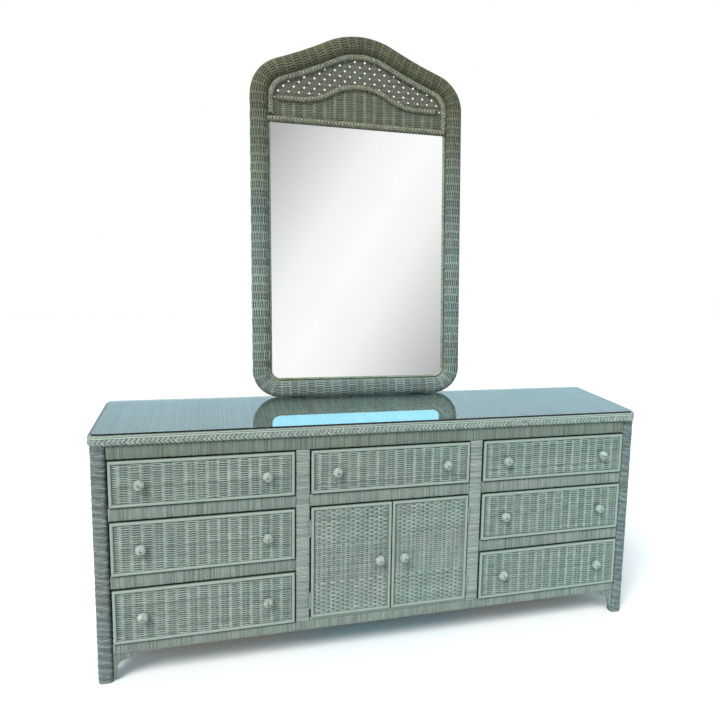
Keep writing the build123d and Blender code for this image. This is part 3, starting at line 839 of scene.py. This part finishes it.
def make_top():
    braid_low, braid_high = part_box("top_braid")
    board_low, board_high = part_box("top_board")
    side = braid_high.y - braid_low.y - top_corner
    across = braid_high.x - braid_low.x - 2 * top_corner
    quarter = (top_corner * pi / 2, pi / 2)
    steps = [(side, 0.0), quarter, (across, 0.0), quarter, (side, 0.0)]
    edge = Route((braid_low.x, braid_high.y), -pi / 2, steps)

    def on_edge(s, out, z):
        """Points at a distance along the edge, standing out from it, and the way outwards there."""
        x, y, to_left = edge.at(s, -out)
        outwards = np.stack((-to_left[0], -to_left[1], np.zeros_like(to_left[0])), -1)
        return np.stack((x, y, z + 0 * x), -1), outwards

    board = Weave()
    bend = top_corner - (board_low.x - braid_low.x)
    loop, _ = rounded(corners_of(board_low, board_high), [bend, bend, 0, 0], closed=True, between=1)
    core_top = board_high.z - 3.4 * mm
    loop = np.concatenate((loop, np.full((len(loop), 1), board_low.z)), 1)
    board.prism(np.roll(loop, 1, 0), Z * (core_top - board_low.z))
    axes = (np.array([board_high.x, board_low.y, core_top]), Y, -X, Z)
    rows = even_rows(board_high.x - board_low.x, top_pitch)
    reach = (0.0, board_high.y - board_low.y)
    woven(board, axes, rows, reach, top_stakes, top_swing, mix=(0.4, 0.25))
    board.piece("top_woven_board", cane_top, "root", ["top_board"])

    rim = Weave()
    height = braid_high.z - braid_low.z
    along = np.linspace(0.0, edge.length, 400)
    # Three strands along the upper edge: how far in and down each is, its tilt and its radius.
    for inside, drop, tilt, radius in ((8.2, 1.7, 88, 2.6), (3.4, 2.2, 55, 2.5), (1.6, 6.2, 12, 2.3)):
        centres, outwards = on_edge(along, -inside * mm, braid_high.z - drop * mm)
        normals = outwards * cos(radians(tilt)) + Z * sin(radians(tilt))
        rim.strands(centres[None], normals[None], radius * mm, (radius - 0.4) * mm, 1.0, sides=5)
    # Below them, slanting strands in pairs: the upper row leans one way, the lower row the other.
    spacing = 6.2 * mm
    count = int((edge.length - 16 * mm) / spacing)
    begin = np.arange(count)[:, None] * spacing + 2 * mm
    pair = (np.arange(count) % 2)[:, None]
    t = np.linspace(0.0, 1.0, 9)[None]
    top_edge, waist, low_edge = 6.5 * mm, 17.0 * mm, height - 1.5 * mm
    for ends, way in (((top_edge, waist + 3.5 * mm), 1), ((waist - 1.0 * mm, low_edge), -1)):
        drop = ends[0] + (ends[1] - ends[0]) * t + 1.3 * mm * pair * (t if way < 0 else 0.0)
        s = begin + (11 * mm * (1 - t) if way > 0 else 9 * mm * t - 1.5 * mm * np.sin(pi * t))
        s = s - 1.2 * mm * pair
        belly = np.sin(pi * (0.15 + 0.75 * t)) if way > 0 else np.sin(pi * (0.2 + 0.75 * t))
        out = (-5.6 + 3.3 * belly - 0.7 * pair) * mm + (0.5 * mm if way < 0 else 0.0)
        centres, outwards = on_edge(s, out, braid_high.z - drop)
        tilt = ((0.30 if way > 0 else 0.0) - 0.75 * t)[..., None]
        normals = outwards * np.cos(tilt) + Z * np.sin(tilt)
        # painted shade where the strands turn in towards the core
        light_share = np.clip(0.35 + 0.65 * belly - 0.2 * pair, 0, 1)
        rim.strands(centres, normals, 2.7 * mm, 2.2 * mm, light_share, sides=4)
    # the core, in painted shade where it shows between strands
    section = ((11.8, 0.5), (4.0, 0.8), (3.4, 12.0), (4.2, 24.0), (6.0, 27.0), (11.8, 27.0))
    core = [on_edge(along, -inside * mm, braid_high.z - drop * mm)[0] for inside, drop in section]
    rim.grid(np.stack(core, 1)[None], (0.4, 0.2, 0.2), round_k=True)
    rim.piece("top_braided_rim", cane_rim, "root", ["top_braid"])


make_top()


# ---- the mirror's tube, liner and crest ----
def on_mirror(u, v, w):
    """Points of the mirror's own frame: across, up along its lean, and out of its face."""
    u, v, w = (np.asarray(value)[..., None] for value in (u, v, w))
    return mirror_origin + u * mirror_across + v * mirror_up + w * mirror_out


def tube_route():
    """The tube's middle line, from the bottom middle to the right and all the way round."""
    low_run = tube_half - corner_bend
    upright = uprights_top - tube_radius - corner_bend
    shoulder_u = tube_half - shoulder_bend * (1 - cos(shoulder_turn))
    slope = pi / 2 - shoulder_turn
    steep = slope + hollow_turn
    crest_u = shoulder_u - hollow_bend * (sin(steep) - sin(slope))
    crest_bend = crest_u / sin(steep)
    corner = (corner_bend * pi / 2, pi / 2)
    shoulder = (shoulder_bend * shoulder_turn, shoulder_turn)
    hollow = (hollow_bend * hollow_turn, -hollow_turn)
    crown = (crest_bend * 2 * steep, 2 * steep)
    arch = [shoulder, hollow, crown, hollow, shoulder]
    steps = [(low_run, 0.0), corner, (upright, 0.0), *arch, (upright, 0.0), corner, (low_run, 0.0)]
    return Route((0.0, tube_radius), 0.0, steps)


def wave_route():
    """The wavy line that the crest panel ends at, from left to right."""
    turn = 2 * atan2(wave_rise, wave_half)
    bend = wave_half / 2 / sin(turn)
    arc = (bend * turn, turn)
    run = (crest_half - wave_half, 0.0)
    peak = (bend * 2 * turn, -2 * turn)
    return Route((-crest_half, wave_low), 0.0, [run, arc, peak, arc, run])


tube_line = tube_route()
wave_line = wave_route()


def along_route(route, s, left, w, tilt=0.0):
    """Points beside a route on the mirror, and normals that tilt from its face towards the left."""
    s, left, w, tilt = np.broadcast_arrays(s, left, w, tilt)
    u, v, to_left = route.at(s, left)
    sideways = to_left[0][..., None] * mirror_across + to_left[1][..., None] * mirror_up
    tilt = tilt[..., None]
    return on_mirror(u, v, w), np.sin(tilt) * sideways + np.cos(tilt) * mirror_out


def core_along(weave, route, places, section, shade, closed=False):
    """A plain skin under the strands, which its shares paint in shade: a section of (left, out) points,
    carried along a route.

    closed says that the section and the places both go all the way round.
    """
    section = np.asarray(section)
    skin, _ = along_route(route, np.asarray(places)[:, None], section[:, 0], section[:, 1])
    weave.grid(skin[None][:, :, ::-1], shade, round_n=closed, round_k=True)


def make_tube():
    weave = Weave()
    back_round, front_round = tube_rounds
    corners = [
        (tube_radius, -tube_back), (tube_radius, tube_front),
        (-tube_radius, tube_front), (-tube_radius, -tube_back),
    ]
    rounds = [back_round, front_round, front_round, back_round]
    path, normals = rounded(corners, rounds, closed=True, steps=12, between=6)
    lengths = np.linalg.norm(np.roll(path, -1, 0) - path, axis=1)
    around = np.concatenate(([0.0], np.cumsum(lengths)))
    strand_count = 42
    wanted = np.arange(strand_count) * around[-1] / strand_count
    closed_path = np.concatenate((path, path[:1]))
    closed_normals = np.concatenate((normals, normals[:1]))
    section = np.stack([np.interp(wanted, around, closed_path[:, i]) for i in (0, 1)], 1)
    facing = np.stack([np.interp(wanted, around, closed_normals[:, i]) for i in (0, 1)], 1)

    hoops = 2 * round(tube_line.length / (2 * tube_hoops))
    samples = hoops * 6
    s = np.arange(samples) / samples * tube_line.length
    number = np.arange(strand_count)[:, None]
    wave = np.cos(pi * (s / tube_line.length * hoops + number))
    bulge = 0.5 - 0.5 * np.cos(2 * pi * s / tube_line.length * hoops)
    rib = np.exp(-((wave / 0.42) ** 2))
    thick = 1.6 * mm
    inset = thick + 1.7 * mm * (1 - wave) - 0.8 * mm * bulge - 0.9 * mm * rib
    inset = np.maximum(inset, thick) + 0.3 * mm * np.abs(rng.standard_normal((strand_count, 1)))
    jitter = 0.35 * mm * np.sin(s * 37 + 2.4 * number)
    left = section[:, :1] - facing[:, :1] * inset - facing[:, 1:] * jitter
    w = section[:, 1:] - facing[:, 1:] * inset + facing[:, :1] * jitter
    tilt = np.arctan2(facing[:, 0], facing[:, 1])[:, None]
    centres, out = along_route(tube_line, s, left, w, tilt)
    half = 0.52 * around[-1] / strand_count
    # painted light on strands that pass over the hoops and on the ribs, painted shade where they dip
    light_share = np.clip(0.50 + 0.34 * wave + 0.42 * rib, 0.0, 1.0)
    tone = uneven_tone(wave.shape, 0.14, 0.1) + 0.2 * np.sin(s * 43 + 2 * np.sin(s * 9))
    weave.strands(centres, out, half, thick, light_share, closed=True, tone=tone)

    # the hoops, under the strands, in painted shade
    hoop_s = np.arange(hoops)[:, None] / hoops * tube_line.length
    inner = path - normals * 4.2 * mm
    tilt = np.arctan2(normals[:, 0], normals[:, 1])
    centres, out = along_route(tube_line, hoop_s, inner[:, 0], inner[:, 1], tilt)
    weave.strands(centres[:, ::2], out[:, ::2], 4.0 * mm, 1.9 * mm, 0.25, closed=True)

    # the core, in painted shade where it shows
    core = path[::3] - normals[::3] * 5.0 * mm
    ring = np.linspace(0.0, tube_line.length, 240, endpoint=False)
    core_along(weave, tube_line, ring, core, (0.4, 0.15, 0.2), closed=True)
    weave.piece("mirror_woven_frame", cane_tube, "root", ["mirror_frame"])


def make_liner():
    """The narrow wound strip between the tube and the glass."""
    weave = Weave()
    middle = pane_inset + 4.5 * mm
    top = crest_foot - 10 * mm
    u, v, _ = tube_line.at(tube_line.s, middle)
    start = tube_line.s[np.argmax((u > 0) & (v > top))]
    pitch = 3.2 * mm
    half_count = int(start / pitch)
    begin = np.concatenate((-np.arange(half_count)[::-1], np.arange(1, half_count))) * pitch
    s = (begin % tube_line.length)[:, None]
    foot = -5.0 * mm
    around = np.linspace(radians(88), radians(-88), 7)
    left = middle + 3.4 * mm * np.sin(around)
    w = foot + 6.8 * mm * np.cos(around)
    centres, out = along_route(tube_line, s, left, w, around)
    weave.strands(centres, out, 1.75 * mm, 1.1 * mm, 0.8)
    ring = np.linspace(-start, start, 200) % tube_line.length
    shape = [(4.2 * mm, foot), (3.2 * mm, 0.6 * mm), (-3.2 * mm, 0.6 * mm), (-4.2 * mm, foot)]
    section = [(middle + side, rise) for side, rise in shape]
    core_along(weave, tube_line, ring, section, (0.4, 0.2, 0.2))
    weave.piece("mirror_wound_liner", cane_liner, "root", ["mirror_liner"])


def herringbone(weave, route, start, stop, left=0.0, half=band_half):
    """A braid of two rows that lean towards each other, along a stretch of a route on the mirror."""
    pitch = 11 * mm
    thick = 2.8 * mm
    count = int((stop - start) / pitch)
    begin = start + (np.arange(count)[:, None] + 0.2) * (stop - start) / count
    for way in (1, -1):
        tilt = way * np.linspace(radians(-6), radians(84), 8)
        s = np.clip(begin + half * np.abs(np.sin(tilt)) - 0.5 * half, start, stop)
        offset = left + (half - 2.2 * mm) * np.sin(tilt)
        w = crest_face + (band_high - thick) * np.cos(tilt)
        centres, out = along_route(route, s, offset, w, tilt)
        # painted shade on the braid's sides, where the strands turn away from the face
        weave.strands(centres, out, 0.47 * pitch, thick, 0.45 + 0.55 * np.cos(tilt), sides=5)
    # the core, in painted shade where it shows
    places = np.linspace(start, stop, max(4, int((stop - start) / (8 * mm))))
    shares = [(0.92, 0.0), (0.75, 0.5), (0.3, 0.72), (-0.3, 0.72), (-0.75, 0.5), (-0.92, 0.0)]
    section = [(left + side * half, crest_face + rise * band_high) for side, rise in shares]
    core_along(weave, route, places, section, (0.3, 0.15, 0.2))


def arch_height(inset):
    """How high the tube's line, moved inwards, is above each place across the mirror."""
    u, v, _ = tube_line.at(tube_line.s, inset)
    upper = v > uprights_top - 30 * mm  # leaves the bottom run and the lower uprights out
    order = np.argsort(u[upper])
    return lambda place: np.interp(place, u[upper][order], v[upper][order])


def wave_height(place):
    return np.interp(place, wave_line.u, wave_line.v)


def make_crest():
    panel = Weave()
    low = crest_foot - 4 * mm
    under = crest_face - 3.4 * mm  # where the strands lie
    rows = even_rows(wave_low + wave_rise - low, crest_pitch)
    climb = np.linspace(wave_half, 0.0, 200)
    half = np.interp(low + rows, wave_height(climb), climb)
    half = np.where(low + rows < wave_low, crest_half, half)
    axes = (on_mirror(0.0, low, under), mirror_across, mirror_up, mirror_out)
    woven(panel, axes, rows, (-half, half), crest_stakes, front_swing,
          stake_top=lambda place: wave_height(place) - low)
    across = np.linspace(-crest_half, crest_half, 60)
    lower = on_mirror(across, np.full(60, low), crest_back)
    upper = on_mirror(across[::-1], wave_height(across[::-1]), crest_back)
    panel.prism(np.concatenate((lower, upper)), mirror_out * (under - crest_back))
    panel.piece("crest_woven_panel", cane_crest, "root", ["crest_panel"])

    lattice = Weave()
    ceiling = arch_height(pane_inset + band_half)
    centre = wave_low + wave_rise
    t = np.arange(-0.5, 0.5, 2 * mm)
    bars = 18  # each way from the middle, more than the crest has room for
    lanes = 3.6 * mm * np.arange(-2, 3)  # the strands of one bar, side by side
    for layer, slant in enumerate((pi / 4, -pi / 4)):
        along = np.array([cos(slant), sin(slant)])
        beside = np.array([-sin(slant), cos(slant)])
        for number in range(-bars, bars + 1):
            across = (number + 0.5) * lattice_pitch
            u = t * along[0] + across * beside[0]
            v = centre + t * along[1] + across * beside[1]
            inside = (v > wave_height(u)) & (v < ceiling(u)) & (np.abs(u) < crest_half)
            edges = np.flatnonzero(np.diff(np.concatenate(([0], inside.astype(int), [0]))))
            for first, last in zip(edges[::2], edges[1::2]):
                if last - first < 4:
                    continue
                part = slice(first, last)
                w = -2.9 * mm + 0.9 * mm * np.cos(pi * (t[part] / lattice_pitch + number + layer))
                for shift in lanes:
                    centres = on_mirror(u[part] + shift * beside[0], v[part] + shift * beside[1], w)
                    for out in (mirror_out, -mirror_out):
                        lattice.strands(centres[None], out, 1.9 * mm, 1.5 * mm, 0.9)
    lattice.piece("crest_open_lattice", cane_lattice, "root", ["crest_lattice"])

    braids = Weave()
    inset = pane_inset + 1 * mm + band_half
    above = np.flatnonzero(tube_line.at(tube_line.s, inset)[1] > crest_foot + band_half)
    start, stop = tube_line.s[above[0]], tube_line.s[above[-1]]
    herringbone(braids, tube_line, start, stop, inset - 1.8 * mm, band_half + 1.9 * mm)
    wave_start = 24 * mm
    herringbone(braids, wave_line, wave_start, wave_line.length - wave_start)
    half = crest_half + band_half
    straight = Route((-half, crest_foot), 0.0, [(2 * half, 0.0)])
    herringbone(braids, straight, 0.0, straight.length)
    braids.piece("crest_braided_bands", cane_band, "root", ["crest_braids"])


make_tube()
make_liner()
make_crest()


# ---- CAD nodes that stay, with their own finish ----
def finish_of(node):
    """The material and the slot of a CAD node that stays visible, or None for the rest."""
    if node.endswith("_moulding"):
        return moulding_paint, "painted_wood"
    # the boards behind woven fronts and panels: painted shade between the strands
    if node.endswith(("_front", "_panel")) and node not in ("back_panel", "crest_panel"):
        return shade_board, "painted_wood"
    if node.endswith("_box"):
        return grain_deep, "bare_wood"
    if node.endswith("hinge_leaves"):
        return hinge_paint, "hinge_metal"
    return {
        "hinge_plates": (hinge_paint, "hinge_metal"),
        "side_panels": (shade_board, "painted_wood"),
        "back_panel": (grain_across, "bare_wood"),
        "partitions": (grain_deep, "bare_wood"),
        "drawer_runners": (grain_deep, "bare_wood"),
        "cupboard_shelves": (board_paint, "painted_wood"),
        "mirror_backboard": (grain_upright, "bare_wood"),
        "mirror_struts": (board_paint, "painted_wood"),
        "foot_brackets": (board_paint, "painted_wood"),
        "glass_top": (glass_paint, "clear_glass"),
        "mirror_glass": (silver_paint, "mirror_silver"),
    }.get(node)


for node, piece in nodes.items():
    if finish_of(node):
        material, slot = finish_of(node)
        piece.data.materials.clear()
        piece.data.materials.append(material)


# ---- floor and light ----
def make_floor():
    half = 9.0
    mesh = bpy.data.meshes.new("floor")
    corners = [(*corner, 0.0) for corner in corners_of((-half, -half), (half, half))]
    mesh.from_pydata(corners, [], [(0, 1, 2, 3)])
    floor = bpy.data.objects.new("floor", mesh)
    bpy.context.scene.collection.objects.link(floor)
    made = Paint("floor_paper")
    clouds = made.noise(3.0)
    colour = made.mix(made.ramp(clouds, 0.3, 0.7), (0.90, 0.90, 0.90, 1.0), (0.88, 0.88, 0.88, 1.0))
    mesh.materials.append(made.finish(colour, made.ramp(clouds, 0.3, 0.7, 0.8, 0.9)))


def make_room_light():
    """The light of a room: white ahead, teal behind the dresser, and a bright blue window high in front.

    The white has a soft diagonal sweep, which the mirror shows. The camera itself sees plain white.
    """
    world = bpy.data.worlds.new("studio")
    bpy.context.scene.world = world
    world.use_nodes = True
    made = Nodes(world.node_tree)

    def bands(value, stops):
        """Colours at places from 0 to 1 of a value, and what is between them."""
        node = made.node("ValToRGB")
        elements = node.color_ramp.elements
        for element, (position, colour) in zip(elements, (stops[0], stops[-1])):
            element.position = position
            element.color = (*colour, 1.0)
        for position, colour in stops[1:-1]:
            elements.new(position).color = (*colour, 1.0)
        made.feed(node.inputs["Fac"], value)
        return node.outputs["Color"]

    across, back, up = made.place("Generated")
    plane = made.math("MULTIPLY_ADD", across, 5.3, made.math("MULTIPLY_ADD", up, -3.1, -0.6))
    sweep = made.math("ABSOLUTE", plane)
    white = (1.0, 1.0, 1.0)
    grey = (0.62, 0.64, 0.64)
    card = bands(sweep, [(0.0, white), (0.35, (0.92, 0.92, 0.92)), (1.0, (0.46, 0.46, 0.465))])
    sky = bands(up, [(0.34, (0.75, 1.7, 2.3)), (0.50, (0.75, 1.6, 2.2)), (0.60, grey)])
    ahead = made.mix(made.ramp(up, 0.305, 0.345, shape="SMOOTHSTEP"), card, sky)
    behind = bands(up, [(0.0, (0.3, 0.4, 0.45)), (0.1, (0.55, 0.85, 1.0)), (0.5, grey)])
    room = made.mix(made.ramp(back, -0.3, 0.3, shape="SMOOTHSTEP"), ahead, behind)
    to_camera = made.node("LightPath").outputs["Is Camera Ray"]
    background = made.tree.nodes["Background"].inputs
    made.feed(background["Color"], made.mix(to_camera, room, (*white, 1.0)))
    made.feed(background["Strength"], 1.0)


def make_sun():
    """Soft light from high on the left, in front."""
    data = bpy.data.lights.new("sun", "SUN")
    data.energy = 3.0
    data.angle = radians(28)
    data.color = (1.0, 0.98, 0.93)
    light = bpy.data.objects.new("sun", data)
    bpy.context.scene.collection.objects.link(light)
    light.rotation_euler = Vector((0.55, 0.75, -1.0)).to_track_quat("-Z", "Y").to_euler()


make_floor()
make_room_light()
make_sun()
bpy.context.scene.view_settings.view_transform = "Standard"
